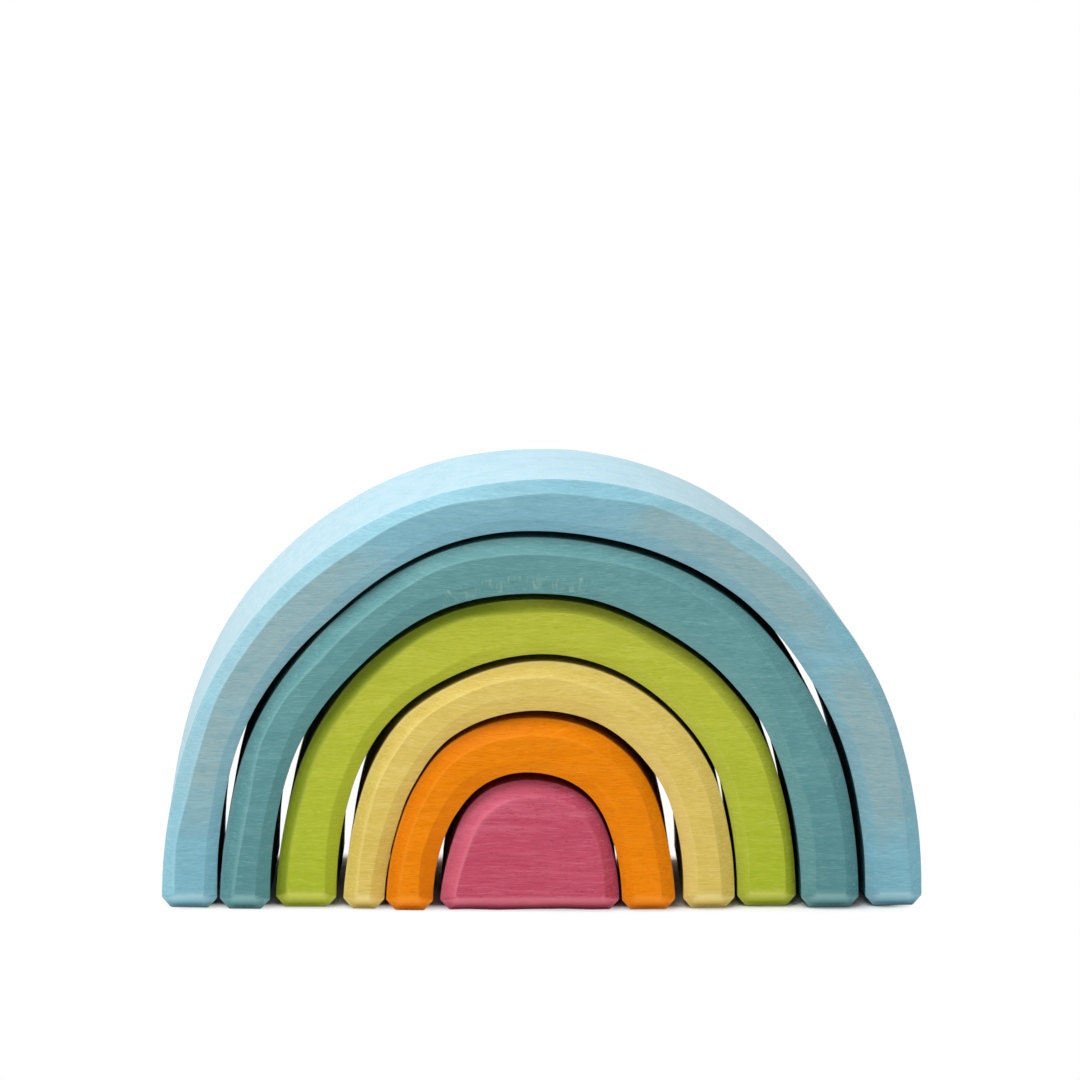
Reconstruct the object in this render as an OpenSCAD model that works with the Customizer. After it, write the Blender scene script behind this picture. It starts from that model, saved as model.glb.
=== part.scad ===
// Rainbow stacker: five nesting arches round a half-round centre block, all sawn from one block of lime wood.
// X runs across the toy, Y from front to back and Z up from the table. Sizes are in millimetres.
// Each outline is three arcs: a round crown, and two wider leg arcs that meet the table upright.

/* [Whole toy] */
// Width of the outer arch across its feet
toy_width = 170; // [150:1:200]
// Depth of every piece from front to back
piece_depth = 50; // [30:1:70]
// Height of the crown's centre above the table on the outer arch
crown_rise = 13.6; // [9:0.1:25]
// How much wider each foot stands than the round crown above it
foot_flare = 2.1; // [1:0.1:4]

/* [Saw cuts and edges] */
// Gap that the saw left beside each leg
saw_kerf = 1.05; // [0.6:0.05:2]
// Gap above each crown
crown_gap = 1.45; // [0.6:0.05:2.5]
// Least gap between two legs that lean together
least_gap = 0.3; // [0.2:0.05:0.5]
// Bevel round the front and back edges
edge_bevel = 2.6; // [0.5:0.1:4]
// Bevel round the sole of each foot
foot_bevel = 2.2; // [0.5:0.1:3.5]

/* [Blue arch] */
// Thickness of each leg
blue_leg = 12.6; // [10:0.1:15]
// Thickness of the crown
blue_crown = 11.7; // [10:0.1:15]
// How far off centre the tunnel was sawn, to the right when positive
blue_drift = -0.4; // [-2:0.05:2]
// How far the arch is pushed back in the set
blue_push = 1.5; // [-4:0.1:4]

/* [Teal arch] */
// Thickness of each leg
teal_leg = 12.1; // [10:0.1:15]
// Thickness of the crown
teal_crown = 12.4; // [10:0.1:15]
// How far off centre the tunnel was sawn, to the right when positive
teal_drift = -1.05; // [-2:0.05:2]
// Where it stands in the tunnel round it, from -1 by the left leg to 1 by the right leg
teal_lean = -0.6; // [-1:0.05:1]
// How far the arch is pushed back in the set
teal_push = 0; // [-4:0.1:4]

/* [Green arch] */
// Thickness of each leg
green_leg = 13.4; // [10:0.1:15]
// Thickness of the crown
green_crown = 12.3; // [10:0.1:15]
// How far off centre the tunnel was sawn, to the right when positive
green_drift = 0.05; // [-2:0.05:2]
// Where it stands in the tunnel round it, from -1 by the left leg to 1 by the right leg
green_lean = 0.3; // [-1:0.05:1]
// How far the arch is pushed back in the set
green_push = 2; // [-4:0.1:4]

/* [Yellow arch] */
// Thickness of each leg
yellow_leg = 10.4; // [9:0.1:13]
// Thickness of the crown
yellow_crown = 10.8; // [9:0.1:13]
// How far off centre the tunnel was sawn, to the right when positive
yellow_drift = -1.3; // [-2:0.05:2]
// Where it stands in the tunnel round it, from -1 by the left leg to 1 by the right leg
yellow_lean = 0.55; // [-1:0.05:1]
// How far the arch is pushed back in the set
yellow_push = -0.3; // [-4:0.1:4]

/* [Orange arch] */
// Thickness of each leg
orange_leg = 11.2; // [9:0.1:13]
// Thickness of the crown
orange_crown = 12.5; // [9:0.1:13]
// How far off centre the tunnel was sawn, to the right when positive
orange_drift = -0.8; // [-2:0.05:2]
// Where it stands in the tunnel round it, from -1 by the left leg to 1 by the right leg
orange_lean = -0.95; // [-1:0.05:1]
// How far the arch is pushed back in the set
orange_push = -1.5; // [-4:0.1:4]

/* [Pink block] */
// Where it stands in the tunnel round it, from -1 by the left leg to 1 by the right leg
pink_lean = 0.75; // [-1:0.05:1]
// How far the block is pushed back in the set
pink_push = -2; // [-4:0.1:4]

/* [Hidden] */
$fn = 180;

// How far a cut runs past the wood, and the turn by which a tunnel's legs run below the table
overrun = 2;
leg_overturn = 4;

// The crown stands this little bit proud where it meets the leg arcs, and runs on inside them by this turn
crown_proud = 0.02;
crown_overturn = 8;

// An outline is its half width at the table, the height of its crown's centre, and the X of its middle.
function sawn(outer, leg, crown, drift) = [outer[0] - leg, outer[1] + leg - crown, outer[2] + drift];
function seated(tunnel, lean) = [
    tunnel[0] - saw_kerf,
    tunnel[1] + saw_kerf - crown_gap,
    tunnel[2] + lean * (saw_kerf - least_gap)
];

blue_outline = [toy_width / 2, crown_rise, 0];
blue_tunnel = sawn(blue_outline, blue_leg, blue_crown, blue_drift);
teal_outline = seated(blue_tunnel, teal_lean);
teal_tunnel = sawn(teal_outline, teal_leg, teal_crown, teal_drift);
green_outline = seated(teal_tunnel, green_lean);
green_tunnel = sawn(green_outline, green_leg, green_crown, green_drift);
yellow_outline = seated(green_tunnel, yellow_lean);
yellow_tunnel = sawn(yellow_outline, yellow_leg, yellow_crown, yellow_drift);
orange_outline = seated(yellow_tunnel, orange_lean);
orange_tunnel = sawn(orange_outline, orange_leg, orange_crown, orange_drift);
pink_outline = seated(orange_tunnel, pink_lean);

// The section that is turned round a centre. Its rim is straight between the bevels, and lip is how far
// it steps out, or in when negative, on the way from there to each end.
module rim_section(inner, radius, reach, lip) {
    straight = piece_depth / 2 - edge_bevel;
    polygon([
        [inner, -reach],
        [radius + lip, -reach],
        [radius, -straight],
        [radius, straight],
        [radius + lip, reach],
        [inner, reach]
    ]);
}

// A solid under one outline: a crown sector, a leg sector on each side that is tangent to it, and a round
// core where the points of the three sectors meet.
module three_arc_solid(outline, reach, lip, overturn) {
    half_width = outline[0];
    rise = outline[1];
    crown_radius = half_width - foot_flare + crown_proud;
    leg_radius = half_width - foot_flare / 2 + rise * rise / (2 * foot_flare);
    turn = atan2(rise, leg_radius - half_width);
    translate([outline[2], 0, 0]) rotate([90, 0, 0]) {
        translate([0, rise, 0]) {
            rotate_extrude(angle = 180 - 2 * turn + 2 * crown_overturn, start = turn - crown_overturn)
                rim_section(0, crown_radius, reach, lip);
            cylinder(r = rise / 2, h = 2 * reach, center = true);
        }
        for (side = [0, 1]) mirror([side, 0, 0])
            translate([half_width - leg_radius, 0, 0])
                rotate_extrude(angle = turn + overturn, start = -overturn)
                    rim_section(leg_radius - half_width, leg_radius, reach, lip);
    }
}

// A wedge along Y that takes the bottom edge off a foot whose side faces +X.
module sole_wedge(length) {
    rotate([90, 0, 0]) linear_extrude(height = length, center = true)
        polygon([
            [-foot_bevel - overrun, -overrun],
            [overrun, foot_bevel + overrun],
            [overrun, -overrun]
        ]);
}

// Wedges for the two walls of an outline: facing out from the solid, or into a tunnel.
module side_wedges(outline, into_tunnel) {
    for (side = [-1, 1]) translate([outline[2] + side * outline[0], 0, 0])
        mirror([side * (into_tunnel ? -1 : 1) > 0 ? 0 : 1, 0, 0])
            sole_wedge(piece_depth + 2 * overrun);
}

// Wedges for the front and back of every foot under an outline.
module end_wedges(outline) {
    for (turn = [90, -90]) translate([outline[2], 0, 0])
        rotate([0, 0, turn]) translate([piece_depth / 2, 0, 0])
            sole_wedge(2 * outline[0] + 2 * overrun);
}

// The half-round block of wood under an outline, with every edge bevelled.
module bevelled_block(outline) {
    difference() {
        three_arc_solid(outline, piece_depth / 2, -edge_bevel, 0);
        side_wedges(outline, false);
        end_wedges(outline);
    }
}

// An arch: the block with its tunnel sawn out, and the tunnel's edges bevelled too.
module sawn_arch(outline, tunnel) {
    difference() {
        bevelled_block(outline);
        three_arc_solid(tunnel, piece_depth / 2 + overrun, edge_bevel + overrun, leg_overturn);
        side_wedges(tunnel, true);
    }
}

module blue_arch() {
    color("#9fcbd9") translate([0, blue_push, 0]) sawn_arch(blue_outline, blue_tunnel);
}

module teal_arch() {
    color("#6ba3a8") translate([0, teal_push, 0]) sawn_arch(teal_outline, teal_tunnel);
}

module green_arch() {
    color("#b3bd3c") translate([0, green_push, 0]) sawn_arch(green_outline, green_tunnel);
}

module yellow_arch() {
    color("#ddc36d") translate([0, yellow_push, 0]) sawn_arch(yellow_outline, yellow_tunnel);
}

module orange_arch() {
    color("#ee880f") translate([0, orange_push, 0]) sawn_arch(orange_outline, orange_tunnel);
}

module pink_block() {
    color("#c85a72") translate([0, pink_push, 0]) bevelled_block(pink_outline);
}

blue_arch();
teal_arch();
green_arch();
yellow_arch();
orange_arch();
pink_block();
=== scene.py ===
# %% [markdown]
# # A rainbow stacker of dyed lime wood
# The toy is five arches that nest over a half-round block. All six pieces come out of one block of lime
# wood: a band saw cuts them free, a sander bevels every edge, and each one is dyed so that the grain still
# shows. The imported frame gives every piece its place, so the scene only has to give each one its true
# surface.

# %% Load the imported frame
import math
import random
from collections import namedtuple

import bmesh
import bpy
from mathutils import Matrix, Vector, noise


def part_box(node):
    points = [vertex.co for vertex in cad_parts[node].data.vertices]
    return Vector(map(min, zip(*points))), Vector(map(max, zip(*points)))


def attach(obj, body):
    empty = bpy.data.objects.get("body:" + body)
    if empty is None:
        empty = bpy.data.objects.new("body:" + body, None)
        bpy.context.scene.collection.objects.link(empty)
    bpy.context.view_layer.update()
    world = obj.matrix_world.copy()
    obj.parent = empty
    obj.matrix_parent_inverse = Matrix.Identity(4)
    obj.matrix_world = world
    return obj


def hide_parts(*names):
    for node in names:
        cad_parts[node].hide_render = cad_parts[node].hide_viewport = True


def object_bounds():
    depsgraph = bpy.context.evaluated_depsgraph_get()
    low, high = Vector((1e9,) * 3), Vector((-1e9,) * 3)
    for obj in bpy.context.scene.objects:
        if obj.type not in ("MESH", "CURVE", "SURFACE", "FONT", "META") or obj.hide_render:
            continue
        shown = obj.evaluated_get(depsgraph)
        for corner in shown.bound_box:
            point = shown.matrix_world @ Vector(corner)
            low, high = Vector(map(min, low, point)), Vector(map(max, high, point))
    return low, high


MM = 0.001
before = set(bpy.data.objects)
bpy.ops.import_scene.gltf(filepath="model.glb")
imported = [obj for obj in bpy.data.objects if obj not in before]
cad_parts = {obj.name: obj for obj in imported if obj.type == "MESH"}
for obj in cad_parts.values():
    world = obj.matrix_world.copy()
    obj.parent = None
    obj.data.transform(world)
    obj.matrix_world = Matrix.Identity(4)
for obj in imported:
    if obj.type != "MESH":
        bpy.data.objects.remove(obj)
cad_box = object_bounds()
print("Nodes in the frame:", ", ".join(sorted(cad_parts)))

# %% [markdown]
# ## What the saw left
# Each piece has a round crown and two legs that flare a little, so its outline is three arcs: one crown arc
# and two much wider leg arcs that meet the table upright. A drawn spline would do as well, but an offset of
# an arc is again an arc, and that makes every bevel below easy. The outer outlines come from the frame's
# boxes. The tunnels are sawn a little off centre, so their sizes are named here.

# %% Name the sizes of the sawn pieces
ORDER = ["blue_arch", "teal_arch", "green_arch", "yellow_arch", "orange_arch", "pink_block"]
FOOT_FLARE = 2.1 * MM
SOLE_RISE = 3.0 * MM
CORNER_RISE = 2.3 * MM
CORNER_RUN = 2.0 * MM

Tunnel = namedtuple("Tunnel", "leg crown drift")
TUNNELS = {
    "blue_arch": Tunnel(12.6 * MM, 11.7 * MM, -0.4 * MM),
    "teal_arch": Tunnel(12.1 * MM, 12.4 * MM, -1.05 * MM),
    "green_arch": Tunnel(13.4 * MM, 12.3 * MM, 0.05 * MM),
    "yellow_arch": Tunnel(10.4 * MM, 10.8 * MM, -1.3 * MM),
    "orange_arch": Tunnel(11.2 * MM, 12.5 * MM, -0.8 * MM),
}
BEVELS = {
    "blue_arch": 2.8 * MM,
    "teal_arch": 3.1 * MM,
    "green_arch": 2.5 * MM,
    "yellow_arch": 3.1 * MM,
    "orange_arch": 3.0 * MM,
    "pink_block": 3.2 * MM,
}
legs = [tunnel.leg / MM for tunnel in TUNNELS.values()]
print(f"Pieces: {len(ORDER)}, with legs {min(legs):.1f} to {max(legs):.1f} mm thick")

# %% Follow a three-arc outline
Outline = namedtuple("Outline", "half_width rise middle")


def outer_outline(node):
    """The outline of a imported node, read from its box."""
    low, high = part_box(node)
    half_width = (high.x - low.x) / 2
    rise = high.z - half_width + FOOT_FLARE
    return Outline(half_width, rise, (low.x + high.x) / 2)


def tunnel_outline(outer, tunnel):
    """The outline of the tunnel under an arch."""
    return Outline(
        outer.half_width - tunnel.leg,
        outer.rise + tunnel.leg - tunnel.crown,
        outer.middle + tunnel.drift,
    )


def on_outline(outline, share, foot, offset):
    """X and Z at a share of the way from the left foot to the right, both feet starting at one height."""
    crown = outline.half_width - FOOT_FLARE
    leg = crown + FOOT_FLARE / 2 + outline.rise**2 / (2 * FOOT_FLARE)
    joint = math.atan2(outline.rise, leg - outline.half_width)
    start = math.asin(foot / (leg + offset))
    leg_run = leg * (joint - start)
    crown_run = crown * (math.pi - 2 * joint)
    way = min(share, 1 - share) * (2 * leg_run + crown_run)
    side = -1 if share < 0.5 else 1
    if way < leg_run:
        angle = start + way / leg
        reach = leg + offset
        centre_x = side * (outline.half_width - leg)
        centre_z = 0.0
    else:
        angle = joint + (way - leg_run) / crown
        reach = crown + offset
        centre_x = 0.0
        centre_z = outline.rise
    x = outline.middle + centre_x + side * reach * math.cos(angle)
    return x, centre_z + reach * math.sin(angle)


blue_outer = outer_outline("blue_arch")
toy_width = 2 * blue_outer.half_width / MM
print(f"Outer arch: {toy_width:.1f} mm wide, its crown's centre {blue_outer.rise / MM:.1f} mm up")

# %% [markdown]
# ## The wander of the saw
# A hand guides the wood past the blade, so no cut is a true arc. The blade cuts both walls of a gap at
# once, so the tunnel of one arch and the outside of the next wander together. A few knots for each cut,
# eased from one to the next, give that better than noise would, because the same wave has to show on two
# pieces. Two more things show in the gaps: the blade stood out of square, so a cut comes out on the back a
# little to one side, and the pieces bowed apart as the wood dried, beside the legs and over the crown.

# %% Name the course of each saw cut
# Each knot is a share of the way from the left foot to the right, and millimetres outward. The skew and the
# bows are millimetres too.
BLUE_KNOTS = [
    (0.06, 0.2), (0.13, 0.5), (0.28, -0.6), (0.42, 0.9),
    (0.56, -0.1), (0.68, 0.0), (0.78, -0.6), (0.9, 0.0),
]
TEAL_KNOTS = [
    (0.15, 0.3), (0.25, 0.1), (0.4, 0.9), (0.53, 0.25),
    (0.65, -0.8), (0.73, -0.5), (0.8, -0.1),
]
GREEN_KNOTS = [(0.15, 0.2), (0.28, 0.6), (0.39, 0.0), (0.52, 0.3), (0.7, -0.3), (0.86, 0.1)]
YELLOW_KNOTS = [(0.22, -0.4), (0.34, 0.4), (0.5, 0.2), (0.62, 0.4), (0.75, 0.1)]
ORANGE_KNOTS = [(0.22, 0.0), (0.39, 0.5), (0.53, 0.3), (0.66, 0.6), (0.8, 0.1)]

Cut = namedtuple("Cut", "skew left_bow crown_bow right_bow knots")
SAW_CUTS = {
    "blue_arch": Cut(0.9, 1.1, 0.1, 0.1, BLUE_KNOTS),
    "teal_arch": Cut(2.0, 0.9, 0.6, 0.1, TEAL_KNOTS),
    "green_arch": Cut(2.4, 0.8, 0.2, 0.1, GREEN_KNOTS),
    "yellow_arch": Cut(2.55, -0.1, 0.4, 0.8, YELLOW_KNOTS),
    "orange_arch": Cut(2.4, 0.5, 0.7, 0.0, ORANGE_KNOTS),
}
SANDED_SQUARE = Cut(0.0, 0.0, 0.0, 0.0, [])
widest = max(abs(knot[1]) for cut in SAW_CUTS.values() for knot in cut.knots)
print(f"Saw cuts: {len(SAW_CUTS)}, the widest wander {widest} mm")

# %% Follow a saw cut
LEG_SHARE = 0.28


def wander(cut, share):
    """How far a saw cut lies outside its arc at a share of its way, and nothing at the feet."""
    stops = [(0.0, 0.0), *cut.knots, (1.0, 0.0)]
    for (start, low), (end, high) in zip(stops, stops[1:]):
        if share <= end:
            place = (share - start) / (end - start)
            ease = place * place * (3 - 2 * place)
            return (low + (high - low) * ease) * MM
    return 0.0


def bowed(cut, share):
    """How far each wall of a cut has bowed away from the other, beside the legs and over the crown."""
    stretches = [
        (0.0, LEG_SHARE, cut.left_bow),
        (LEG_SHARE, 1 - LEG_SHARE, cut.crown_bow),
        (1 - LEG_SHARE, 1.0, cut.right_bow),
    ]
    for start, end, most in stretches:
        if share < end:
            return most / 2 * math.sin(math.pi * (share - start) / (end - start)) * MM
    return 0.0


at_top = wander(SAW_CUTS["blue_arch"], 0.5) / MM
print(f"At its top the blue arch's cut lies {at_top:.2f} mm outside its arc")

# %% [markdown]
# ## Soft edges
# Sanding and years of small hands leave no sharp edge. A bevel modifier could round them all, but it makes
# uneven meshes where three edges meet at a foot. Here each corner of a path is turned into a small arc
# before anything is built, so that every ring of points has the same count and the mesh is all quads.

# %% Round the corners of a path
EDGE_ROUND = 0.3 * MM
FOOT_ROUND = 0.7 * MM
ROUND_STEPS = 3
CORNER_TURN = math.radians(45)
CORNER_CUT = EDGE_ROUND * math.tan(CORNER_TURN / 2)
FOOT_CUT = FOOT_ROUND * math.tan(CORNER_TURN / 2)


def softened(points, between, radius):
    """The inner corners of a path as small arcs, and so many points between one corner and the next."""
    path = []
    worn = []
    for i in range(1, len(points) - 1):
        corner = Vector(points[i])
        back = (Vector(points[i - 1]) - corner).normalized()
        ahead = (Vector(points[i + 1]) - corner).normalized()
        half = (math.pi - back.angle(ahead)) / 2
        centre = corner + (back + ahead).normalized() * radius / math.cos(half)
        first = corner + back * radius * math.tan(half) - centre
        last = corner + ahead * radius * math.tan(half) - centre
        if path:
            gap = centre + first - path[-1]
            start = path[-1].copy()
            count = between[i - 2]
            path += [start + gap * (k + 1) / (count + 1) for k in range(count)]
            worn += [0.0] * count
        for k in range(ROUND_STEPS + 1):
            path.append(centre + first.lerp(last, k / ROUND_STEPS).normalized() * radius)
        worn += [1.0] * (ROUND_STEPS + 1)
    return path, worn


print(f"Corners: {CORNER_CUT / MM:.2f} mm off an edge and {FOOT_CUT / MM:.2f} mm off a foot")

# %% [markdown]
# ## The bevels
# The bevel between a face and a side is sanded by eye, in short straight strokes, so the lines beside it
# are never quite even. One profile is drawn across the bevel, with both its edges softened. Each stretch of
# bevel then scales that profile by its own hand-made line. Inside a tunnel the sander can't be held at 45
# degrees, so the bevel there is as wide but not as deep, least of all under the crown.

# %% Draw the bevel profile and the hand-made lines
STROKE = 11 * MM
STROKE_SPREAD = 0.2
LEAST_STROKES = 4
LEAD = 1.5 * MM
BEVEL_STEPS = [2]
LEG_BEVEL_DEPTH = 0.6
CROWN_BEVEL_DEPTH = 0.3


def bevel_profile(bevel):
    """Pairs of depth behind the face and inset from the side, from the face round to the side."""
    corners = [(0, bevel + LEAD), (0, bevel), (bevel, 0), (bevel + LEAD, 0)]
    return softened(corners, BEVEL_STEPS, EDGE_ROUND)


def tunnel_depth(shape, share):
    """How deep a tunnel's bevel is for its width. The block has a sole there, with an even bevel."""
    if shape.tunnel is None:
        return 1.0
    return LEG_BEVEL_DEPTH + (CROWN_BEVEL_DEPTH - LEG_BEVEL_DEPTH) * math.sin(math.pi * share)


def hand_line(draw, length):
    """The share of its full width that a sanded bevel has along its way, in straight strokes."""
    count = max(LEAST_STROKES, round(length / STROKE))
    knots = [1.0] + [1 + draw.uniform(-STROKE_SPREAD, STROKE_SPREAD) for _ in range(count - 1)] + [1.0]

    def width(share):
        place = min(int(share * count), count - 1)
        return knots[place] + (share * count - place) * (knots[place + 1] - knots[place])

    return width


profile, _ = bevel_profile(BEVELS["blue_arch"])
print(f"Points across a bevel: {len(profile)}")

# %% [markdown]
# ## One loop round a piece
# Seen from the front, the rim of an arch is a closed loop: over the top, round the right foot, back through
# the tunnel and round the left foot. The block has the same loop with a flat sole in place of the tunnel. A
# loop is drawn at any inset, so a stack of loops from front to back makes the whole rim, bevels included.
# An extruded outline would be shorter to write, but its walls couldn't skew and bow as the sawn ones do.

# %% Describe each piece
COLUMN_STEP = 1.4 * MM
Shape = namedtuple("Shape", "outer tunnel outer_cut tunnel_cut front back bevel length columns shares")


def shape_of(node):
    """All that is needed to draw the loops of one piece."""
    outer = outer_outline(node)
    low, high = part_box(node)
    place = ORDER.index(node)
    outer_cut = SAW_CUTS[ORDER[place - 1]] if place else SANDED_SQUARE
    tunnel = tunnel_outline(outer, TUNNELS[node]) if node in TUNNELS else None
    tunnel_cut = SAW_CUTS.get(node, SANDED_SQUARE)
    length = math.pi * outer.half_width
    columns = round(length / COLUMN_STEP)
    shares = [i / columns for i in range(columns + 1)]
    return Shape(outer, tunnel, outer_cut, tunnel_cut, low.y, high.y, BEVELS[node], length, columns, shares)


shapes = {node: shape_of(node) for node in ORDER}
print("Columns along the pieces:", ", ".join(str(shape.columns) for shape in shapes.values()))

# %% Draw one loop
FACE_CORNER = 0.5 * MM
FOOT_STEPS = [1, 4, 1]
BLOCK_FOOT_STEPS = [1]


def even(share):
    """The line of a plain wall, which is the same at every share of its way."""
    return 1.0


def foot_run(outer_x, inner_x, side, sole, cut, knee):
    """The points round one foot, from the outer wall to the tunnel wall, or to the sole of the block."""
    down = [(outer_x, knee + LEAD), (outer_x, knee), (outer_x - side * cut, sole)]
    if inner_x is None:
        return softened(down + [(outer_x - side * (cut + LEAD), sole)], BLOCK_FOOT_STEPS, FOOT_ROUND)
    up = [(inner_x + side * cut, sole), (inner_x, knee), (inner_x, knee + LEAD)]
    return softened(down + up, FOOT_STEPS, FOOT_ROUND)


def loop_at(shape, y, inset, top_line, bottom_line):
    """The top run, right foot, bottom run and left foot of one loop, and how worn a foot's points are."""
    deep = (y - shape.front) / (shape.back - shape.front)
    sunk = min(inset / shape.bevel, 1.0)
    sole = SOLE_RISE * inset / shape.bevel
    corner = CORNER_RUN + (FACE_CORNER - CORNER_RUN) * sunk
    knee = sole + CORNER_RISE + (FACE_CORNER - CORNER_RISE) * sunk

    def sawn_run(outline, cut, side, line):
        """The points along one saw cut. Side is -1 on the outside of a piece and 1 in its tunnel."""
        run = []
        for share in shape.shares:
            offset = wander(cut, share) + side * bowed(cut, share) + side * inset * line(share)
            x, z = on_outline(outline, share, knee + FOOT_CUT, offset)
            run.append((x + deep * cut.skew * MM, z))
        return run

    top = sawn_run(shape.outer, shape.outer_cut, -1, top_line)
    if shape.tunnel:
        bottom = sawn_run(shape.tunnel, shape.tunnel_cut, 1, bottom_line)
        right, worn = foot_run(top[-1][0], bottom[-1][0], 1, sole, corner, knee)
        left, _ = foot_run(top[0][0], bottom[0][0], -1, sole, corner, knee)
    else:
        right, worn = foot_run(top[-1][0], None, 1, sole, corner, knee)
        left, _ = foot_run(top[0][0], None, -1, sole, corner, knee)
        spread = [(share + (1 - math.cos(math.pi * share)) / 2) / 2 for share in shape.shares]
        bottom = [(left[-1].x + (right[-1].x - left[-1].x) * place, sole) for place in spread]
    return top, right, bottom, left, worn


loop = loop_at(shapes["blue_arch"], 0.0, 0.0, even, even)
print("Points in one loop of the blue arch:", sum(len(run) for run in loop[:4]))

# %% [markdown]
# ## From loops to wood
# The loops are joined into a rim of quads, and a grid of quads closes each face: its first and last columns
# are the feet, and every other column runs straight from the top run to the bottom run. Booleans on solid
# blocks would give the same form, but with long thin triangles that shade badly. Each point also keeps how
# much its edge is rubbed, most of all round the soles, with more on the left as a painted highlight on the
# lamp's side, and its way: how far along the arch it lies, how far across, and whether it is on a wall. The
# wood's finish needs them.

# %% Add the points of a loop
SOLE_ACROSS = 0.5
# The outer edges are paler from wear, and more so on the left: that left-to-right fade is a painted
# highlight on the lamp's side.
OUTER_WEAR_AND_HIGHLIGHT = (0.75, 0.25)
RUBBED_INNER = 0.2
RUBBED_CORNER = 0.35


class Wood:
    """Points and faces of one piece, as they are added."""

    def __init__(self):
        self.points = []
        self.worn = []
        self.way = []
        self.faces = []

    def add(self, x, y, z, worn, way):
        self.points.append((x, y, z))
        self.worn.append(worn)
        self.way.append(way)
        return len(self.points) - 1


def add_loop(wood, shape, loop, top_y, bottom_y, worn, wall):
    """Adds one loop at the depths of its top and bottom runs, and returns its runs as point numbers."""
    top, right, bottom, left, foot_worn = loop
    last = shape.columns
    inside = 1.0 if shape.tunnel else SOLE_ACROSS
    runs = {"top": [], "bottom": []}
    for i, (x, z) in enumerate(top):
        way = (i / last * shape.length, 0.0, wall)
        rubbed = OUTER_WEAR_AND_HIGHLIGHT[0] + (OUTER_WEAR_AND_HIGHLIGHT[1] - OUTER_WEAR_AND_HIGHLIGHT[0]) * i / last
        runs["top"].append(wood.add(x, top_y[i], z, worn * rubbed, way))
    for i, (x, z) in enumerate(bottom):
        way = (i / last * shape.length, inside, wall)
        runs["bottom"].append(wood.add(x, bottom_y[i], z, worn * RUBBED_INNER, way))
    for side, run, corner in (("right", right, last), ("left", left, 0)):
        inner = []
        for k in range(1, len(run) - 1):
            across = k / (len(run) - 1)
            y = top_y[corner] + (bottom_y[corner] - top_y[corner]) * across
            way = (corner / last * shape.length, across * inside, wall)
            rubbed = max(worn, foot_worn[k] * RUBBED_CORNER)
            inner.append(wood.add(run[k][0], y, run[k][1], rubbed, way))
        runs[side] = [runs["top"][corner], *inner, runs["bottom"][corner]]
    return runs


print(f"Outer edges are rubbed {OUTER_WEAR_AND_HIGHLIGHT[0]:.0%} on the left and {OUTER_WEAR_AND_HIGHLIGHT[1]:.0%} on the right")

# %% Join loops and close faces
def closed(runs):
    """The point numbers of a loop in order."""
    return runs["top"] + runs["right"][1:-1] + runs["bottom"][::-1] + runs["left"][1:-1][::-1]


def quads_between(one, two):
    """The quads that join two closed loops."""
    next_one = one[1:] + one[:1]
    next_two = two[1:] + two[:1]
    return list(zip(one, next_one, next_two, two))


def add_face(wood, runs):
    """Closes a face with a grid of quads inside its loop."""
    rows = len(runs["left"])
    base = [Vector(wood.points[n]) for n in runs["left"]]
    steps = [(b - a).length for a, b in zip(base, base[1:])]
    across = [sum(steps[:k]) / sum(steps) for k in range(rows)]
    columns = [runs["left"]]
    for top, bottom in list(zip(runs["top"], runs["bottom"]))[1:-1]:
        start = Vector(wood.points[top])
        end = Vector(wood.points[bottom])
        along = wood.way[top][0]
        column = [top]
        for k in range(1, rows - 1):
            x, y, z = start.lerp(end, across[k])
            column.append(wood.add(x, y, z, 0.0, (along, across[k], 0.0)))
        columns.append(column + [bottom])
    columns.append(runs["right"])
    for one, two in zip(columns, columns[1:]):
        for k in range(rows - 1):
            wood.faces.append((one[k], two[k], two[k + 1], one[k + 1]))


print("Quads between two loops of four points:", len(quads_between([0, 1, 2, 3], [4, 5, 6, 7])))

# %% Build the mesh of one piece
MIDDLE_STEP = 4 * MM


def bevel_loops(wood, shape, draw, edge, inward):
    """The loops of the bevel round one face, from the face to the wall."""
    top_line, bottom_line, top_side, bottom_side = (hand_line(draw, shape.length) for _ in range(4))
    loops = []
    for (depth, inset), worn in zip(*bevel_profile(shape.bevel)):
        into = inward * depth
        loop = loop_at(shape, edge + into, inset, top_line, bottom_line)
        top_y = [edge + into * top_side(share) for share in shape.shares]
        bottom_y = [edge + into * tunnel_depth(shape, share) * bottom_side(share) for share in shape.shares]
        wall = 1.0 if depth > shape.bevel else 0.0
        loops.append(add_loop(wood, shape, loop, top_y, bottom_y, worn, wall))
    return loops


def build_wood(shape, draw):
    """The rim and faces of one piece, from the front face to the back face."""
    wood = Wood()
    front = bevel_loops(wood, shape, draw, shape.front, 1)
    back = bevel_loops(wood, shape, draw, shape.back, -1)
    start = shape.front + shape.bevel + CORNER_CUT
    end = shape.back - shape.bevel - CORNER_CUT
    count = round((end - start) / MIDDLE_STEP)
    middle = []
    for k in range(1, count):
        y = start + (end - start) * k / count
        level = [y] * len(shape.shares)
        loop = loop_at(shape, y, 0.0, even, even)
        middle.append(add_loop(wood, shape, loop, level, level, 0.0, 1.0))
    stack = [closed(runs) for runs in front + middle + back[::-1]]
    for one, two in zip(stack, stack[1:]):
        wood.faces += quads_between(one, two)
    add_face(wood, front[0])
    add_face(wood, back[0])
    return wood


trial = build_wood(shapes["pink_block"], random.Random(1))
print(f"A trial block: {len(trial.points)} points and {len(trial.faces)} quads")

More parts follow.
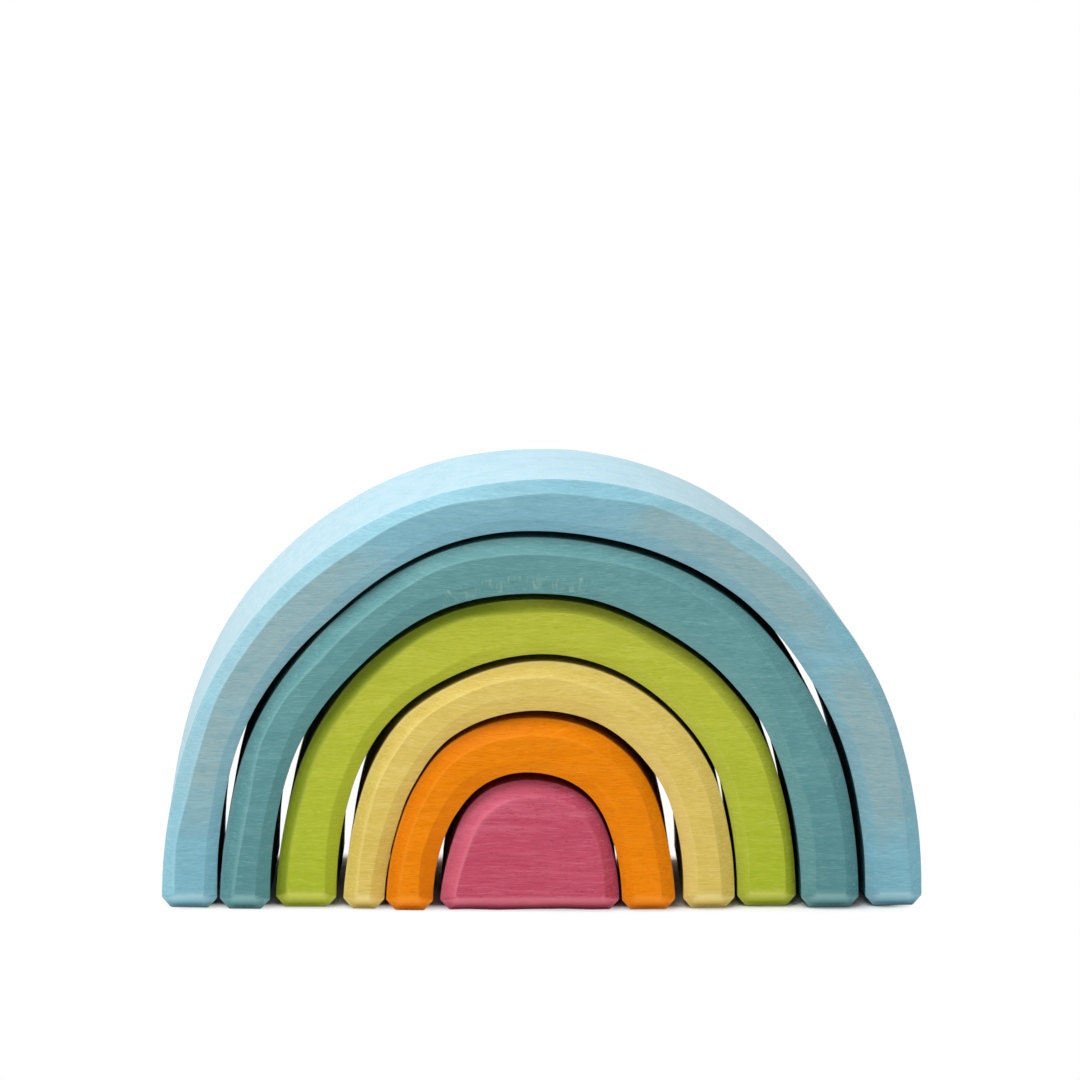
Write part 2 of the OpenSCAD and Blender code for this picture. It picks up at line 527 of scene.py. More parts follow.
# %% [markdown]
# ## Hand-sanded surfaces
# A sander held by hand leaves broad, shallow hollows that you feel more than see. They matter in the
# render, because they break up the highlights. A little smooth noise along each point's normal does it in
# the mesh itself, which a bump map couldn't do for the outline.

# %% Turn the points into objects
HOLLOW_SIZES = [(24 * MM, 0.10 * MM), (8 * MM, 0.05 * MM)]
HOLLOW_SHIFT = (3.7, 1.3, 2.1)


def sanded(mesh, seed):
    """Moves each point a hair along its normal, in broad and in small hollows that differ by piece."""
    shift = Vector([seed * step for step in HOLLOW_SHIFT])
    moved = []
    for vertex in mesh.vertices:
        lift = sum(noise.noise(vertex.co / size + shift) * depth for size, depth in HOLLOW_SIZES)
        moved.append(vertex.co + vertex.normal * lift)
    for vertex, place in zip(mesh.vertices, moved):
        vertex.co = place


def make_piece(node, seed):
    """One finished piece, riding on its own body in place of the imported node."""
    wood = build_wood(shapes[node], random.Random(seed))
    name = node + "_wood"
    mesh = bpy.data.meshes.new(name)
    mesh.from_pydata(wood.points, [], wood.faces)
    mesh.attributes.new("edge_wear_and_highlight", "FLOAT", "POINT").data.foreach_set("value", wood.worn)
    way = [number for row in wood.way for number in row]
    mesh.attributes.new("way_along", "FLOAT_VECTOR", "POINT").data.foreach_set("vector", way)
    shaped = bmesh.new()
    shaped.from_mesh(mesh)
    bmesh.ops.recalc_face_normals(shaped, faces=shaped.faces)
    shaped.to_mesh(mesh)
    shaped.free()
    mesh.polygons.foreach_set("use_smooth", [True] * len(mesh.polygons))
    sanded(mesh, seed)
    piece = bpy.data.objects.new(name, mesh)
    bpy.context.scene.collection.objects.link(piece)
    piece.modifiers.new("flat_faces_stay_flat", "WEIGHTED_NORMAL").keep_sharp = True
    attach(piece, node)
    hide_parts(node)
    return piece


pieces = {node: make_piece(node, seed) for seed, node in enumerate(ORDER, start=1)}
for node, piece in pieces.items():
    print(f"{piece.name}: {len(piece.data.polygons)} faces")

# %% [markdown]
# ## Dyed lime wood
# Lime is a pale, even wood with fine short fibres and faint growth rings. A water dye sinks in unevenly:
# more in the soft wood of each ring and in the open ends of the fibres, less on the edges that are rubbed.
# The pattern could be painted on each face, but a pattern in space is what wood is: long streaks where a
# face runs along the fibres, and specks where it cuts across them. So every pattern below is stretched
# along X, the way the fibres ran in the block, and all of it is placed in millimetres.

# %% Add nodes, and turn hex colours to linear
def linear(hex_colour):
    """An sRGB hex colour as linear values for a colour socket, by the sRGB curve's own numbers."""
    shares = [int(hex_colour[i : i + 2], 16) / 255 for i in (1, 3, 5)]
    return [s / 12.92 if s <= 0.04045 else ((s + 0.055) / 1.055) ** 2.4 for s in shares] + [1.0]


def add_node(tree, kind, settings, inputs):
    """Adds a node, sets it up, and fills each input with a value or a link."""
    node = tree.nodes.new(kind)
    for name, value in settings.items():
        setattr(node, name, value)
    for socket, value in inputs.items():
        if isinstance(value, bpy.types.NodeSocket):
            tree.links.new(value, node.inputs[socket])
        else:
            node.inputs[socket].default_value = value
    return node


print(f"Middle grey is {linear('#808080')[0]:.3f} in linear light")

# %% Draw the marks of the grain
# The fibres of lime are about 0.03 mm wide, too fine to show here, so the fibres, dashes and pores are
# drawn about ten times as coarse. The mottle, streaks and rings have their real sizes.
Pattern = namedtuple("Pattern", "along across detail")
PATTERNS = {
    "mottle": Pattern(9 * MM, 6 * MM, 3.0),
    "fibres": Pattern(3.2 * MM, 0.28 * MM, 2.0),
    "streaks": Pattern(34 * MM, 1.5 * MM, 2.0),
    "dark_dashes": Pattern(2.2 * MM, 0.22 * MM, 1.0),
    "light_dashes": Pattern(2.8 * MM, 0.24 * MM, 1.0),
    "pores": Pattern(1.1 * MM, 0.3 * MM, 0.0),
}
# Each pattern is shifted to its own part of the noise, and stretched from front to back.
PATTERN_SHIFT = (7.3, 3.1)
DEPTH_STRETCH = 4
SWAYS = [(38 * MM, 6 * MM), (6 * MM, 0.7 * MM)]
# A wave of scale 1 comes round once in this length.
WAVE_PERIOD = 2 * math.pi / 20
RING_WIDTH = 2.8 * MM
RING_LOOK = {"Scale": WAVE_PERIOD / RING_WIDTH, "Distortion": 3.0, "Detail": 2.0}
PITH = (0.0, -0.018, 0.055)


def grain_marks(tree, place, longer):
    """The patterns and growth rings of one wood, all along a grain that sways."""
    grain = place
    for size, reach in SWAYS:
        waves = {"Vector": grain, "Scale": 1 / size, "Detail": 1.0}
        waves = add_node(tree, "ShaderNodeTexNoise", {}, waves).outputs["Color"]
        sway = {0: waves, 1: (0.0, reach, reach), 2: grain}
        grain = add_node(tree, "ShaderNodeVectorMath", {"operation": "MULTIPLY_ADD"}, sway).outputs[0]
    marks = {}
    for number, (kind, pattern) in enumerate(PATTERNS.items()):
        along = pattern.along * longer.get(kind, 1)
        size = (1 / along, 1 / (DEPTH_STRETCH * pattern.across), 1 / pattern.across)
        shift = (PATTERN_SHIFT[0] * number, PATTERN_SHIFT[1] * number, 0.0)
        fitted = {"Vector": grain, "Location": shift, "Scale": size}
        fitted = add_node(tree, "ShaderNodeMapping", {}, fitted).outputs[0]
        soft = {"Vector": fitted, "Scale": 1.0, "Detail": pattern.detail}
        marks[kind] = add_node(tree, "ShaderNodeTexNoise", {}, soft).outputs["Fac"]
    pith = {0: grain, 1: PITH}
    pith = add_node(tree, "ShaderNodeVectorMath", {"operation": "ADD"}, pith).outputs[0]
    rings = {"wave_type": "RINGS", "rings_direction": "X", "wave_profile": "SAW"}
    rings = add_node(tree, "ShaderNodeTexWave", rings, {"Vector": pith, **RING_LOOK})
    marks["rings"] = rings.outputs["Fac"]
    return marks


print("Patterns in the wood:", ", ".join(PATTERNS))

# %% [markdown]
# ## Marks that belong to a place
# Some marks are tied to a place on the piece and not to the grain: the dye on a wall, which holds painted
# shade in the gaps and a painted reflection on the blue arch's outside, the painted light and shade on the
# bevels, the saw lines in a tunnel, the pale patches where sap kept the dye out, and the fibres that tore
# as a bevel was sanded across the grain. They could be painted by hand on an unwrapped mesh. Here they are
# found from each point's place and its way along the arch, so they stay sharp at any distance, and then
# they are patterns like the others.

# %% Find walls, bevels and soles
# Each limit is a part of the place, its value where there is none of the mark, and its value where there is
# all.
OUTER_BEVEL = ("across", 0.02, 0.0)
INNER_BEVEL = ("across", 0.98, 1.0)
SIDES = [
    ("outside", "wall", [("across", 0.5, 0.0)]),
    ("tunnel_wall", "wall", [("across", 0.5, 1.0)]),
    # Left outer bevels, for painted light and painted shadow.
    ("left_bevel_painted_light_and_shadow", "face", [OUTER_BEVEL, ("sideways", 2 * MM, -14 * MM)]),
    # Right outer bevels, for painted shade.
    ("right_bevel_painted_shade", "face", [OUTER_BEVEL, ("sideways", 4 * MM, 14 * MM)]),
    # Inner bevels of the left legs, for painted shade.
    ("left_inner_painted_shade", "face", [INNER_BEVEL, ("sideways", -10 * MM, -26 * MM)]),
    # Inner bevels of the right legs, for painted light.
    ("right_inner_painted_light", "face", [INNER_BEVEL, ("sideways", 10 * MM, 26 * MM)]),
    # The sole's bevel, for wear and for painted light bounced up from the table.
    (
        "sole",
        "face",
        [
            ("across", 0.1, 0.2),
            ("across", 0.9, 0.8),
            ("height", 4.0 * MM, 3.2 * MM),
            ("height", 0.8 * MM, 2.6 * MM),
        ],
    ),
]


def where_on_piece(tree, place):
    """Where a point lies: its place, its way along and across the arch, and whether on a wall or a face."""
    where = {"place": place}
    way = add_node(tree, "ShaderNodeAttribute", {"attribute_name": "way_along"}, {}).outputs["Vector"]
    ways = add_node(tree, "ShaderNodeSeparateXYZ", {}, {0: way}).outputs
    where["along"], where["across"], where["wall"] = ways
    axes = add_node(tree, "ShaderNodeSeparateXYZ", {}, {0: place}).outputs
    where["sideways"], where["deep"], where["height"] = axes
    face = {0: 1.0, 1: where["wall"]}
    where["face"] = add_node(tree, "ShaderNodeMath", {"operation": "SUBTRACT"}, face).outputs[0]
    return where


def kept_within(tree, mark, where, limits, least=0.0):
    """A mark that fades by where it lies, to none or to the least of it."""
    for part, none, full in limits:
        share = {"Value": where[part], "From Min": none, "From Max": full, "To Min": least}
        share = {0: mark, 1: add_node(tree, "ShaderNodeMapRange", {}, share).outputs["Result"]}
        mark = add_node(tree, "ShaderNodeMath", {"operation": "MULTIPLY"}, share).outputs[0]
    return mark


print("Sides of a piece:", ", ".join(kind for kind, _, _ in SIDES))

# %% Draw saw lines and sap spots
SAW_LINE = (0.7 * MM, 30 * MM)
FACE_LIMITS = [("across", 0.0, 0.02), ("across", 1.0, 0.98)]
SPOTS_ON_BEVELS = 0.4


def saw_lines(tree, where):
    """Fine lines across a sawn wall, from front to back."""
    cut = {"X": where["along"], "Y": where["deep"]}
    cut = add_node(tree, "ShaderNodeCombineXYZ", {}, cut).outputs[0]
    size = (1 / SAW_LINE[0], 1 / SAW_LINE[1], 1.0)
    cut = add_node(tree, "ShaderNodeMapping", {}, {"Vector": cut, "Scale": size}).outputs[0]
    return add_node(tree, "ShaderNodeTexNoise", {}, {"Vector": cut, "Scale": 1.0}).outputs["Fac"]


def distance_from(tree, place, x, z):
    """How far each point lies from a line that runs from front to back at X and Z."""
    away = {0: place, 1: (x, 0.0, z)}
    away = add_node(tree, "ShaderNodeVectorMath", {"operation": "SUBTRACT"}, away).outputs[0]
    away = {0: away, 1: (1.0, 0.0, 1.0)}
    away = add_node(tree, "ShaderNodeVectorMath", {"operation": "MULTIPLY"}, away).outputs[0]
    return add_node(tree, "ShaderNodeVectorMath", {"operation": "LENGTH"}, {0: away}).outputs["Value"]


def sap_spots(tree, where, mottle, spots):
    """Pale patches with uneven edges, fainter on the bevels and walls."""
    patches = 0.0
    for x, z, radius in spots:
        away = {0: mottle, 1: -radius * MM, 2: distance_from(tree, where["place"], x * MM, z * MM)}
        away = add_node(tree, "ShaderNodeMath", {"operation": "MULTIPLY_ADD"}, away).outputs[0]
        near = {"Value": away, "From Min": radius / 2 * MM, "From Max": 0.0}
        near = {0: add_node(tree, "ShaderNodeMapRange", {}, near).outputs["Result"], 1: patches}
        patches = add_node(tree, "ShaderNodeMath", {"operation": "MAXIMUM"}, near).outputs[0]
    return kept_within(tree, patches, where, FACE_LIMITS, SPOTS_ON_BEVELS)


print(f"Saw lines: {SAW_LINE[0] / MM:.1f} mm apart")

# %% Draw torn fibres
# Nearly all of a noise lies between these two.
NOISE_LOW = 0.3
NOISE_HIGH = 0.7

# Torn fibres lie on a run of the arch and in a ring round the middle of its crown, in millimetres.
Torn = namedtuple("Torn", "first last middle rise low high")
TORN_EDGE = (12 * MM, 1.6 * MM)
TORN_SWAY = 8 * MM
TORN_LEAN = 0.5
TORN_SIZE = (0.9 * MM, 3.8 * MM)
TORN_FRONT = ("deep", 0.0, -15 * MM)


def torn_fibres(tree, where, torn):
    """Pale fibres across the front bevel, leaning to and fro along the arch."""
    first, last, middle, rise, low, high = (length * MM for length in torn)
    out = distance_from(tree, where["place"], middle, rise)
    up = add_node(tree, "ShaderNodeMath", {"operation": "SUBTRACT"}, {0: out, 1: low}).outputs[0]
    lean = add_node(tree, "ShaderNodeCombineXYZ", {}, {"X": where["along"]}).outputs[0]
    lean = {"Vector": lean, "Scale": 1 / TORN_SWAY}
    lean = add_node(tree, "ShaderNodeTexNoise", {}, lean).outputs["Fac"]
    lean = {"Value": lean, "From Min": NOISE_LOW, "From Max": NOISE_HIGH}
    lean = {**lean, "To Min": -TORN_LEAN, "To Max": TORN_LEAN}
    lean = {0: up, 1: add_node(tree, "ShaderNodeMapRange", {}, lean).outputs["Result"], 2: where["along"]}
    lean = add_node(tree, "ShaderNodeMath", {"operation": "MULTIPLY_ADD"}, lean).outputs[0]
    fibres = add_node(tree, "ShaderNodeCombineXYZ", {}, {"X": lean, "Y": up}).outputs[0]
    fibres = {"Vector": fibres, "Scale": (1 / TORN_SIZE[0], 1 / TORN_SIZE[1], 1.0)}
    fibres = add_node(tree, "ShaderNodeMapping", {}, fibres).outputs[0]
    fibres = {"Vector": fibres, "Scale": 1.0, "Detail": 1.0}
    fibres = add_node(tree, "ShaderNodeTexNoise", {}, fibres).outputs["Fac"]
    limits = [
        ("along", first, first + TORN_EDGE[0]),
        ("along", last, last - TORN_EDGE[0]),
        ("out", low, low + TORN_EDGE[1]),
        ("out", high, high - TORN_EDGE[1]),
        ("face", 0.0, 1.0),
        TORN_FRONT,
    ]
    return kept_within(tree, fibres, {**where, "out": out}, limits)


print(f"Torn fibres: {TORN_SIZE[1] / MM:.1f} mm long")

# %% [markdown]
# ## Layers of dye, painted light and painted shade
# A finish like this is many faint marks, one over another, and no single one should be noticed. So the
# layers of colour are kept as rows, each with the mark that it follows, and one loop lays them on. To tune
# the wood you change a row. A tree of nodes drawn by hand would look the same, but nobody could read it.

# %% Name the layers of dye and painted light
# A layer's colour is a field of the dye, laid on from none to most as its mark runs from low to high. One
# with a most of 0.0 is there for the dyes that make it stronger.
Layer = namedtuple("Layer", "colour mark low high most")
LAYERS = [
    Layer("feet", "height", 48 * MM, 8 * MM, 0.85),
    Layer("bare", "spots", 0.0, 1.0, 0.9),
    Layer("soaked", "mottle", 0.42, 0.7, 0.25),
    Layer("soaked", "fibres", 0.45, 0.7, 0.35),
    Layer("rubbed", "fibres", 0.45, 0.25, 0.22),
    Layer("soaked", "streaks", 0.5, 0.7, 0.15),
    Layer("rubbed", "streaks", 0.48, 0.3, 0.15),
    Layer("soaked", "rings", 0.5, 1.0, 0.1),
    Layer("soaked", "dark_dashes", 0.58, 0.7, 0.6),
    Layer("rubbed", "light_dashes", 0.6, 0.72, 0.38),
    Layer("sawn", "pores", 0.68, 0.76, 0.0),
    # Painted light and painted shadow on the left outer bevels, in each dye's bevel colour.
    Layer("bevel", "left_bevel_painted_light_and_shadow", 0.0, 1.0, 0.0),
    # Painted shade on the right outer bevels, which face away from the lamp.
    Layer("sawn", "right_bevel_painted_shade", 0.0, 1.0, 0.0),
    # Painted shade on the inner bevels of the left legs, which face away from the lamp.
    Layer("soaked", "left_inner_painted_shade", 0.0, 1.0, 0.0),
    # Painted light on the inner bevels of the right legs, which face the lamp.
    Layer("rubbed", "right_inner_painted_light", 0.0, 1.0, 0.0),
    # The sole's bevel is paler: partly rubbing wear and partly painted light bounced up from the table.
    Layer("rubbed", "sole", 0.0, 1.0, 0.7),
    # The last two millimetres are darker towards the bottom: partly dirt and partly painted contact shadow.
    Layer("soaked", "height", 2.2 * MM, 0.8 * MM, 0.8),
    Layer("sawn", "height", 1.5 * MM, 0.1 * MM, 0.9),
    # The outside walls: partly their own dye, partly painted shade in the gaps, and on the blue arch a
    # painted reflection.
    Layer("outside", "outside", 0.0, 1.0, 0.55),
    Layer("full", "outside_streaks", 0.44, 0.66, 0.16),
    # The tunnel walls: the deeper dye of sawn end grain, and painted shade in the gaps.
    Layer("sawn", "tunnel_wall", 0.0, 1.0, 1.0),
    Layer("soaked", "saw_lines", 0.5, 0.7, 0.4),
    Layer("bare", "torn", 0.52, 0.74, 0.34),
    # Rubbed edges: wear, and on the left a painted highlight, by the edge attribute.
    Layer("rubbed", "worn", 0.2, 1.0, 0.5),
]
print(f"Layers of dye: {len(LAYERS)}")

# %% Lay the layers on
# A dye has a colour for each kind of layer. The spots are X, Z and radius in millimetres. For one dye,
# stronger gives the most of the layers on a mark in place of their own, and longer stretches a pattern of
# the grain.
DYE_FIELDS = "full soaked rubbed feet sawn outside bare spots torn bevel stronger longer"
Dye = namedtuple("Dye", DYE_FIELDS, defaults=["#000000", [], None, "#000000", {}, {}])


def dyed_colour(tree, dye, marks):
    """The colour of the wood once every layer of the dye is on it."""
    colour = linear(dye.full)
    for layer in LAYERS:
        most = dye.stronger.get(layer.mark, layer.most)
        if layer.mark not in marks or most == 0:
            continue
        share = {"Value": marks[layer.mark], "From Min": layer.low, "From Max": layer.high}
        share = add_node(tree, "ShaderNodeMapRange", {}, {**share, "To Max": most}).outputs["Result"]
        laid = {0: share, 6: colour, 7: linear(getattr(dye, layer.colour))}
        colour = add_node(tree, "ShaderNodeMix", {"data_type": "RGBA"}, laid).outputs[2]
    return colour


print("Parts of a dye:", ", ".join(Dye._fields))

# %% [markdown]
# ## One dyed wood
# Dyed wood that is rubbed with a little oil is matt: its gloss is low and broken up by the fibres, and the
# raw sawn walls have none. A coat of varnish would be a second shader, but there is none on this toy. So
# the marks give the colour, the fibres give the roughness, and fibres and saw lines together give a little
# relief.

# %% Gather the marks of one wood
EDGE_WEAR_AND_HIGHLIGHT = {"attribute_name": "edge_wear_and_highlight"}


def wood_marks(tree, dye, where):
    """Every mark of one wood: of its grain and of its places."""
    marks = grain_marks(tree, where["place"], dye.longer)
    marks["height"] = where["height"]
    marks["worn"] = add_node(tree, "ShaderNodeAttribute", EDGE_WEAR_AND_HIGHLIGHT, {}).outputs["Fac"]
    for kind, part, limits in SIDES:
        marks[kind] = kept_within(tree, where[part], where, limits)
    on_walls = [
        ("outside_streaks", marks["streaks"], marks["outside"]),
        ("saw_lines", saw_lines(tree, where), marks["tunnel_wall"]),
    ]
    for kind, mark, wall in on_walls:
        kept = {0: mark, 1: wall}
        marks[kind] = add_node(tree, "ShaderNodeMath", {"operation": "MULTIPLY"}, kept).outputs[0]
    if dye.spots:
        marks["spots"] = sap_spots(tree, where, marks["mottle"], dye.spots)
    if dye.torn:
        marks["torn"] = torn_fibres(tree, where, dye.torn)
    return marks


print(f"Marks that a layer can follow: {len({layer.mark for layer in LAYERS})}")

# %% Make one dyed wood
# Oil and wood have an IOR near 1.5, and a rubbed face a roughness near 0.5. The gloss is turned well down,
# because this toy shows hardly any.
WOOD_IOR = 1.5
WOOD_GLOSS = 0.05
FACE_ROUGHNESS = (0.45, 0.6)
WALL_ROUGHNESS = 1.0
SAW_LINE_RELIEF = 0.8
RELIEF_STRENGTH = 0.25
RELIEF_DEPTH = 0.1 * MM


def dyed_lime_wood(name, dye):
    """Lime wood under a thin water dye and a rub of oil: matt, fine-fibred, paler on its rubbed edges, and
    with painted light, shade and highlight on its bevels, walls and edges.
    """
    material = bpy.data.materials.new(name)
    material.use_nodes = True
    tree = material.node_tree
    shader = tree.nodes["Principled BSDF"]
    shader.inputs["IOR"].default_value = WOOD_IOR
    shader.inputs["Specular IOR Level"].default_value = WOOD_GLOSS
    where = where_on_piece(tree, add_node(tree, "ShaderNodeTexCoord", {}, {}).outputs["Object"])
    marks = wood_marks(tree, dye, where)
    tree.links.new(dyed_colour(tree, dye, marks), shader.inputs["Base Color"])
    rough = {"Value": marks["fibres"], "From Min": NOISE_LOW, "From Max": NOISE_HIGH}
    rough = {**rough, "To Min": FACE_ROUGHNESS[0], "To Max": FACE_ROUGHNESS[1]}
    rough = add_node(tree, "ShaderNodeMapRange", {}, rough).outputs["Result"]
    rough = {"Value": where["wall"], "To Min": rough, "To Max": WALL_ROUGHNESS}
    rough = add_node(tree, "ShaderNodeMapRange", {}, rough).outputs["Result"]
    tree.links.new(rough, shader.inputs["Roughness"])
    relief = {0: marks["saw_lines"], 1: SAW_LINE_RELIEF, 2: marks["fibres"]}
    relief = add_node(tree, "ShaderNodeMath", {"operation": "MULTIPLY_ADD"}, relief).outputs[0]
    relief = {"Height": relief, "Strength": RELIEF_STRENGTH, "Distance": RELIEF_DEPTH}
    relief = add_node(tree, "ShaderNodeBump", {}, relief).outputs["Normal"]
    tree.links.new(relief, shader.inputs["Normal"])
    return material


print(f"Oiled faces have a roughness of {FACE_ROUGHNESS[0]} to {FACE_ROUGHNESS[1]}")

# %% [markdown]
# ## The six dyes
# Every dye is one colour in the pot, but on the wood it has several: deeper where it soaked in, paler where
# it is rubbed, and a little other near the feet. Each piece also has painted light and shade: paler bevels
# where the lamp falls, darker ones in the next arch's shadow, darker walls in the gaps, a darker bottom
# edge, and a pale painted reflection on the blue arch's outside. One material with a hue slider couldn't do
# that, so each piece has its own set of colours. The blue has pale patches of sap, the teal has torn fibres
# on its crown, and the pink block is from a coarser part of the plank.

# %% Dye the six pieces
SAP_SPOTS = [(-56, 58, 34), (40, 74, 32), (-76, 36, 18), (75, 38, 26)]
TORN_CROWN = Torn(78, 136, -1.9, 13.8, 57.2, 63.5)
# The outside and sawn colours are partly the deeper dye of sawn end grain and partly painted shade: they
# darken the walls in the gaps, and the sawn colour also paints shade on the right bevels and along the
# bottom edge.
DYES = {
    "blue_arch": Dye(
        full="#7eb0bf", soaked="#6a99a8", rubbed="#a0c6ce", feet="#7ab0c0",
        # The blue's pale outside is a painted reflection of the white room on its top and left side, and
        # its pale bevel colour is painted light on its left bevels.
        sawn="#4b6d78", outside="#bccbd2", bare="#93aaaa", bevel="#b4d8e2",
        spots=SAP_SPOTS,
        stronger={"left_bevel_painted_light_and_shadow": 0.12, "worn": 0.25},
    ),
    "teal_arch": Dye(
        full="#629496", soaked="#4f8083", rubbed="#86b0b0", feet="#53878c",
        sawn="#375a5c", outside="#4a7678", bare="#a6bfac",
        torn=TORN_CROWN,
        stronger={"left_inner_painted_shade": 0.3, "right_inner_painted_light": 0.14},
    ),
    "green_arch": Dye(
        full="#b4b93d", soaked="#99a42a", rubbed="#c8cb5f", feet="#a6b72d",
        # The green's dark bevel colour is painted shadow, cast by the teal arch onto its left bevels.
        sawn="#6c701d", outside="#8d9130", bevel="#78901c",
        stronger={"left_bevel_painted_light_and_shadow": 0.6, "left_inner_painted_shade": 0.4, "right_inner_painted_light": 0.18},
    ),
    "yellow_arch": Dye(
        full="#d6bd64", soaked="#c2a64c", rubbed="#e6d58e", feet="#d6bd60",
        sawn="#8f7a35", outside="#b09a4c",
        stronger={"right_inner_painted_light": 0.25},
    ),
    "orange_arch": Dye(
        full="#e38000", soaked="#cb6a00", rubbed="#f0962a", feet="#ee8806",
        # The orange's dark bevel colour is painted shadow from the yellow arch on its left bevels.
        sawn="#9a5203", outside="#bd6905", bevel="#c05f00",
        stronger={"left_bevel_painted_light_and_shadow": 0.32, "right_bevel_painted_shade": 0.12, "left_inner_painted_shade": 0.5},
    ),
    "pink_block": Dye(
        full="#c25369", soaked="#a83e55", rubbed="#d47a8c", feet="#c05068",
        # The pink's pale bevel colour is painted light on its left bevels.
        sawn="#76293a", outside="#96394c", bevel="#d26a80",
        stronger={"streaks": 0.3, "pores": 0.35, "left_bevel_painted_light_and_shadow": 0.45, "right_bevel_painted_shade": 0.15},
        longer={"dark_dashes": 2.5, "light_dashes": 2.5},
    ),
}
for node, dye in DYES.items():
    wood = dyed_lime_wood(node.split("_")[0] + "_dyed_lime_wood", dye)
    pieces[node].data.materials.append(wood)
    print(f"{wood.name}: {len(wood.node_tree.nodes)} nodes")

# %% [markdown]
# ## The white table
# The toy stands on white paper that runs out of sight. Brighter lamps could make it white, but they would
# bleach the toy as well. So the paper and the room show plain white to the rays that see them, and the
# paper is lit paper only near the toy, where it keeps the shadow. The edge between the two is a soft box
# round the feet. It is turned a little, because the shadow reaches further out on the right, away from the
# lamp.

# %% Find the rays that see the backdrop
BACKDROP_RAYS = ["Is Camera Ray", "Is Glossy Ray", "Is Transmission Ray"]


def backdrop_rays(tree):
    """One for a ray that sees the backdrop: straight from the camera, or by way of gloss or glass."""
    rays = add_node(tree, "ShaderNodeLightPath", {}, {}).outputs
    seen = rays[BACKDROP_RAYS[0]]
    for kind in BACKDROP_RAYS[1:]:
        more = {0: seen, 1: rays[kind]}
        seen = add_node(tree, "ShaderNodeMath", {"operation": "MAXIMUM"}, more).outputs[0]
    return seen


print("Rays that see the backdrop:", ", ".join(BACKDROP_RAYS))

# %% Lay the white table
# Matt paper is rough all over: an even white with a soft shadow and no highlight. It lies a hair below the
# table's height, so that no hand-sanded sole pokes through it.
TABLE_SIZE = 4.0
TABLE_DROP = 0.1 * MM
PAPER_ROUGHNESS = 0.9
SHADOW_REACH = 6 * MM
SHADOW_START = 7 * MM
SHADOW_TURN = (0.0, 0.0, math.radians(2))
far_corner = cad_box[1]
bpy.ops.mesh.primitive_plane_add(size=TABLE_SIZE, location=(0, 0, -TABLE_DROP))
table = bpy.context.object
table.name = "white_table"
paper = bpy.data.materials.new("matt_white_paper")
paper.use_nodes = True
tree = paper.node_tree
shader = tree.nodes["Principled BSDF"]
shader.inputs["Base Color"].default_value = linear("#f4f4f4")
shader.inputs["Roughness"].default_value = PAPER_ROUGHNESS

place = add_node(tree, "ShaderNodeTexCoord", {}, {}).outputs["Object"]
turned = {"Vector": place, "Rotation": SHADOW_TURN}
turned = add_node(tree, "ShaderNodeMapping", {}, turned).outputs[0]
beside = add_node(tree, "ShaderNodeVectorMath", {"operation": "ABSOLUTE"}, {0: turned}).outputs[0]
beside = {0: beside, 1: (far_corner.x - SHADOW_START, far_corner.y - SHADOW_START, 0.0)}
beside = add_node(tree, "ShaderNodeVectorMath", {"operation": "SUBTRACT"}, beside).outputs[0]
beside = {0: beside, 1: (0.0, 0.0, 0.0)}
beside = add_node(tree, "ShaderNodeVectorMath", {"operation": "MAXIMUM"}, beside).outputs[0]
beside = add_node(tree, "ShaderNodeVectorMath", {"operation": "LENGTH"}, {0: beside}).outputs["Value"]
faded = {"Value": beside, "From Max": SHADOW_REACH}
faded = {0: add_node(tree, "ShaderNodeMapRange", {}, faded).outputs["Result"], 1: backdrop_rays(tree)}
faded = add_node(tree, "ShaderNodeMath", {"operation": "MULTIPLY"}, faded).outputs[0]
white = {"Color": linear("#ffffff"), "Strength": 1.0}
white = add_node(tree, "ShaderNodeEmission", {}, white).outputs[0]
white = {0: faded, 1: shader.outputs[0], 2: white}
white = add_node(tree, "ShaderNodeMixShader", {}, white).outputs[0]
tree.links.new(white, tree.nodes["Material Output"].inputs["Surface"])
table.data.materials.append(paper)
print(f"White table: {TABLE_SIZE} m, shadows fade over {SHADOW_REACH / MM:.0f} mm")

# %% [markdown]
# ## Light
# Most of the light is the white room itself, which is darker behind the camera. One big lamp up on the left
# makes left bevels brighter than right ones. Several small lamps would do that too, but each would add a
# shadow of its own between the arches.

# %% Light the room
ROOM_LIGHT = 0.73
CAMERA_END = (0.6, 0.9)
CAMERA_END_LIGHT = 0.38
world = bpy.data.worlds.new("white_room")
world.use_nodes = True
bpy.context.scene.world = world
tree = world.node_tree
way = add_node(tree, "ShaderNodeTexCoord", {}, {}).outputs["Generated"]
facing = {0: way, 1: (0.0, -1.0, 0.0)}
facing = add_node(tree, "ShaderNodeVectorMath", {"operation": "DOT_PRODUCT"}, facing).outputs["Value"]
level = {"Value": facing, "From Min": CAMERA_END[0], "From Max": CAMERA_END[1]}
level = {**level, "To Min": ROOM_LIGHT, "To Max": CAMERA_END_LIGHT}
level = add_node(tree, "ShaderNodeMapRange", {}, level).outputs["Result"]
strength = add_node(tree, "ShaderNodeMix", {}, {0: backdrop_rays(tree), 2: level, 3: 1.0}).outputs[0]
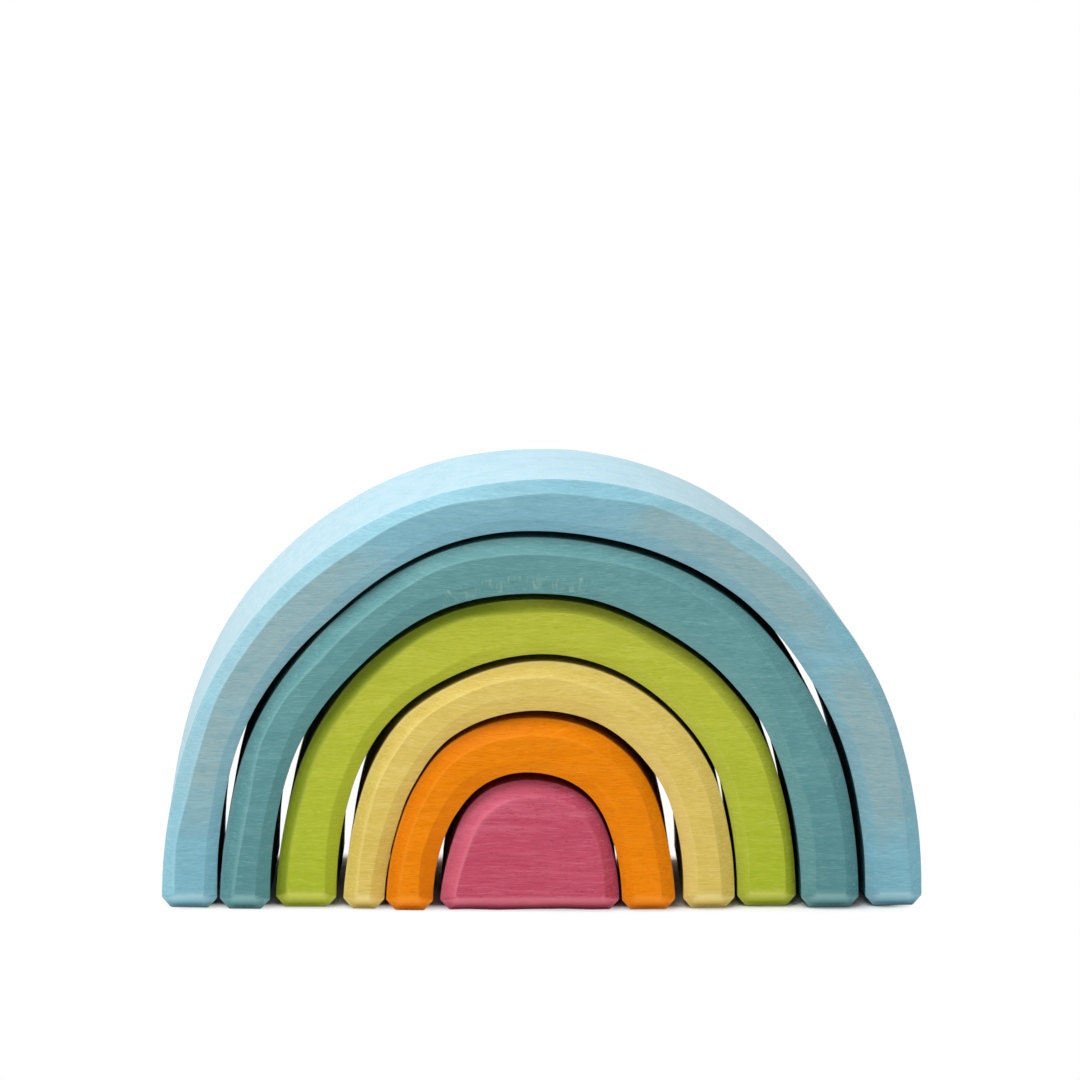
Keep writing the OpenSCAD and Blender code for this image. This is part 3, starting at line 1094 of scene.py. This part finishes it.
tree.nodes["Background"].inputs["Color"].default_value = linear("#ffffff")
tree.links.new(strength, tree.nodes["Background"].inputs["Strength"])
bpy.context.scene.view_settings.view_transform = "Standard"
print(f"Room light: {ROOM_LIGHT}, and {CAMERA_END_LIGHT} behind the camera")

# %% Hang the lamp
# At this power, white paper that faces the lamp shows LAMP_LEVEL.
LAMP_WAY = Vector((-0.32, -0.17, 0.93)).normalized()
LAMP_DISTANCE = 0.9
LAMP_SIZE = 0.6
LAMP_LEVEL = 0.94
lamp_data = bpy.data.lights.new("softbox", "AREA")
lamp_data.size = LAMP_SIZE
lamp_data.energy = LAMP_LEVEL * math.pi**2 * LAMP_DISTANCE**2
lamp = bpy.data.objects.new("softbox", lamp_data)
lamp.location = LAMP_WAY * LAMP_DISTANCE
lamp.rotation_euler = LAMP_WAY.to_track_quat("Z", "Y").to_euler()
bpy.context.scene.collection.objects.link(lamp)
print(f"Softbox: {lamp_data.energy:.2f} W")

# %% [markdown]
# ## Camera
# The camera looks down about ten degrees from a little left of the middle, through a long lens. It could
# track an empty at the toy's middle, but its angles are known, so its axes are worked out from them.

# %% Set up the camera
EYE = Vector((-51.6, -849.8, 228.6)) * MM
YAW, PITCH, ROLL = (math.radians(angle) for angle in (3.43, 9.95, 0.74))
LENS = 128.05
SENSOR = 36.0
ahead = Vector((math.sin(YAW) * math.cos(PITCH), math.cos(YAW) * math.cos(PITCH), -math.sin(PITCH)))
level_right = Vector((math.cos(YAW), -math.sin(YAW), 0))
right = level_right * math.cos(ROLL) + level_right.cross(ahead) * math.sin(ROLL)
up = right.cross(ahead)
camera_data = bpy.data.cameras.new("camera")
camera_data.lens = LENS
camera_data.sensor_width = SENSOR
camera = bpy.data.objects.new("camera", camera_data)
camera.matrix_world = Matrix.Translation(EYE) @ Matrix((right, up, -ahead)).transposed().to_4x4()
bpy.context.scene.collection.objects.link(camera)
bpy.context.scene.camera = camera
print(f"Camera: a {LENS:.0f} mm lens, {EYE.length:.2f} m away")
